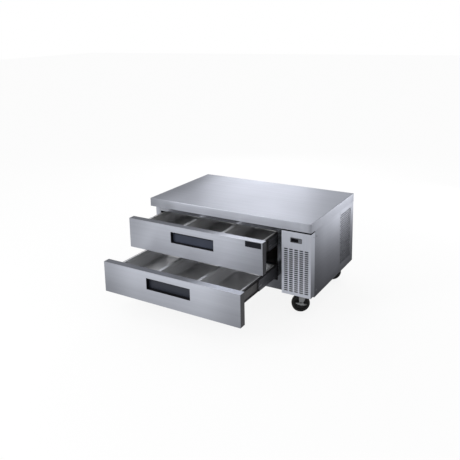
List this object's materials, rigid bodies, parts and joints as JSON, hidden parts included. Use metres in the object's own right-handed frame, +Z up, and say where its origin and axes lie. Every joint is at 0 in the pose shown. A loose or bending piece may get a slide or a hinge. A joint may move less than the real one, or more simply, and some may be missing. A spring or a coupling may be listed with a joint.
{
  "type": "refrigerated chef base",
  "caption": "Low refrigerated equipment stand on braked casters: stainless worktop, stacked drawers of food pans on telescopic slides, and a louvred machine bay with controller at the right.",
  "frame": {"origin": "on the floor, at the middle of the outline with both drawers open as they stand in the picture", "axes": "+Z up, +Y towards the back, +X towards the machine bay at the right as seen from the front"},
  "size_m": [1.33, 1.381, 0.68],
  "materials": {
    "brushed_steel": "satin stainless steel",
    "liner_steel": "satin stainless steel",
    "pan_steel": "polished stainless steel",
    "slide_steel": "black-coated steel",
    "zinc_steel": "zinc-plated steel",
    "black_plastic": "matte black plastic",
    "grey_plastic": "matte grey plastic",
    "gasket_vinyl": "soft black vinyl",
    "rigid_foam": "rigid foam",
    "black_enamel": "black enamel",
    "coil_aluminium": "bright fins",
    "copper": "bright copper",
    "tread_rubber": "black solid rubber"
  },
  "bodies": {
    "cabinet": {"worktop": "brushed_steel", "left_side_panel": "brushed_steel", "right_side_panel": "brushed_steel", "front_frame": "brushed_steel", "grille_panel": "brushed_steel", "back_panel": "zinc_steel", "base_pan": "zinc_steel", "cabinet_liner": "liner_steel", "cabinet_insulation": "rigid_foam", "controller": "black_plastic", "compressor": "black_enamel", "condenser_coil": "coil_aluminium", "fan_shroud": "zinc_steel", "condenser_fan_motor": "black_enamel", "evaporator_coil": "coil_aluminium", "evaporator_cover": "liner_steel", "refrigerant_lines": "copper", "cord_gland": "black_plastic", "upper_slide_outer_left": "slide_steel", "upper_slide_outer_right": "slide_steel", "lower_slide_outer_left": "slide_steel", "lower_slide_outer_right": "slide_steel", "caster_plate_front_left": "zinc_steel", "caster_plate_front_right": "zinc_steel", "caster_plate_rear_left": "zinc_steel", "caster_plate_rear_right": "zinc_steel"},
    "upper_drawer": {"upper_drawer_front": "brushed_steel", "upper_front_core": "rigid_foam", "upper_handle": "black_plastic", "upper_gasket": "gasket_vinyl", "upper_drawer_frame": "slide_steel", "upper_pan_left": "pan_steel", "upper_pan_middle": "pan_steel", "upper_pan_right": "pan_steel"},
    "upper_slides": {"upper_slide_middle_left": "slide_steel", "upper_slide_middle_right": "slide_steel"},
    "lower_drawer": {"lower_drawer_front": "brushed_steel", "lower_front_core": "rigid_foam", "lower_handle": "black_plastic", "lower_gasket": "gasket_vinyl", "lower_drawer_frame": "slide_steel", "lower_pan_left": "pan_steel", "lower_pan_middle": "pan_steel", "lower_pan_right": "pan_steel"},
    "lower_slides": {"lower_slide_middle_left": "slide_steel", "lower_slide_middle_right": "slide_steel"},
    "caster_front_left_fork": {"caster_fork_front_left": "zinc_steel"},
    "caster_front_left_wheel": {"caster_wheel_front_left": "tread_rubber"},
    "caster_front_left_brake": {"caster_brake_front_left": "zinc_steel"},
    "caster_front_right_fork": {"caster_fork_front_right": "zinc_steel"},
    "caster_front_right_wheel": {"caster_wheel_front_right": "tread_rubber"},
    "caster_front_right_brake": {"caster_brake_front_right": "zinc_steel"},
    "caster_rear_left_fork": {"caster_fork_rear_left": "zinc_steel"},
    "caster_rear_left_wheel": {"caster_wheel_rear_left": "tread_rubber"},
    "caster_rear_right_fork": {"caster_fork_rear_right": "zinc_steel"},
    "caster_rear_right_wheel": {"caster_wheel_rear_right": "tread_rubber"},
    "condenser_fan": {"condenser_fan_blade": "black_plastic"},
    "evaporator_fan": {"evaporator_fan": "black_plastic"},
    "key_up": {"key_up": "grey_plastic"},
    "key_down": {"key_down": "grey_plastic"}
  },
  "joints": [
    {"name": "upper_drawer_slide", "type": "slide", "parent": "cabinet", "child": "upper_drawer", "axis": [0, -1, 0], "range_m": [-0.268, 0.312]},
    {"name": "upper_slides_slide", "type": "slide", "parent": "cabinet", "child": "upper_slides", "axis": [0, -1, 0], "range_m": [-0.134, 0.156]},
    {"name": "lower_drawer_slide", "type": "slide", "parent": "cabinet", "child": "lower_drawer", "axis": [0, -1, 0], "range_m": [-0.561, 0.019]},
    {"name": "lower_slides_slide", "type": "slide", "parent": "cabinet", "child": "lower_slides", "axis": [0, -1, 0], "range_m": [-0.2805, 0.0095]},
    {"name": "caster_front_left_swivel", "type": "hinge", "parent": "cabinet", "child": "caster_front_left_fork", "pos_m": [-0.565, -0.0195, 0.1372], "axis": [0, 0, 1], "continuous": true},
    {"name": "caster_front_left_roll", "type": "hinge", "parent": "caster_front_left_fork", "child": "caster_front_left_wheel", "pos_m": [-0.59468, -0.03805, 0.0635], "axis": [-0.5299, 0.848, 0], "continuous": true},
    {"name": "caster_front_left_brake_tilt", "type": "hinge", "parent": "caster_front_left_fork", "child": "caster_front_left_brake", "pos_m": [-0.59468, -0.03805, 0.0635], "axis": [-0.5299, 0.848, 0], "range_deg": [-24, 0]},
    {"name": "caster_front_right_swivel", "type": "hinge", "parent": "cabinet", "child": "caster_front_right_fork", "pos_m": [0.58, -0.0195, 0.1372], "axis": [0, 0, 1], "continuous": true},
    {"name": "caster_front_right_roll", "type": "hinge", "parent": "caster_front_right_fork", "child": "caster_front_right_wheel", "pos_m": [0.55032, -0.03805, 0.0635], "axis": [-0.5299, 0.848, 0], "continuous": true},
    {"name": "caster_front_right_brake_tilt", "type": "hinge", "parent": "caster_front_right_fork", "child": "caster_front_right_brake", "pos_m": [0.55032, -0.03805, 0.0635], "axis": [-0.5299, 0.848, 0], "range_deg": [-24, 0]},
    {"name": "caster_rear_left_swivel", "type": "hinge", "parent": "cabinet", "child": "caster_rear_left_fork", "pos_m": [-0.565, 0.589, 0.1372], "axis": [0, 0, 1], "continuous": true},
    {"name": "caster_rear_left_roll", "type": "hinge", "parent": "caster_rear_left_fork", "child": "caster_rear_left_wheel", "pos_m": [-0.59468, 0.57045, 0.0635], "axis": [-0.5299, 0.848, 0], "continuous": true},
    {"name": "caster_rear_right_swivel", "type": "hinge", "parent": "cabinet", "child": "caster_rear_right_fork", "pos_m": [0.58, 0.589, 0.1372], "axis": [0, 0, 1], "continuous": true},
    {"name": "caster_rear_right_roll", "type": "hinge", "parent": "caster_rear_right_fork", "child": "caster_rear_right_wheel", "pos_m": [0.55032, 0.57045, 0.0635], "axis": [-0.5299, 0.848, 0], "continuous": true},
    {"name": "condenser_fan_spin", "type": "hinge", "parent": "cabinet", "child": "condenser_fan", "pos_m": [0.5535, 0.0035, 0.3093], "axis": [0, 1, 0], "continuous": true},
    {"name": "evaporator_fan_spin", "type": "hinge", "parent": "cabinet", "child": "evaporator_fan", "pos_m": [0.107, 0.5405, 0.3506], "axis": [0, 1, 0], "continuous": true},
    {"name": "key_up_press", "type": "slide", "parent": "cabinet", "child": "key_up", "axis": [0, 1, 0], "range_m": [0, 0.0008], "stiffness_N_per_m": 300},
    {"name": "key_down_press", "type": "slide", "parent": "cabinet", "child": "key_down", "axis": [0, 1, 0], "range_m": [0, 0.0008], "stiffness_N_per_m": 300}
  ],
  "couplings": [
    {"joint": "upper_slides_slide", "follows": "upper_drawer_slide", "ratio": 0.5},
    {"joint": "lower_slides_slide", "follows": "lower_drawer_slide", "ratio": 0.5}
  ]
}
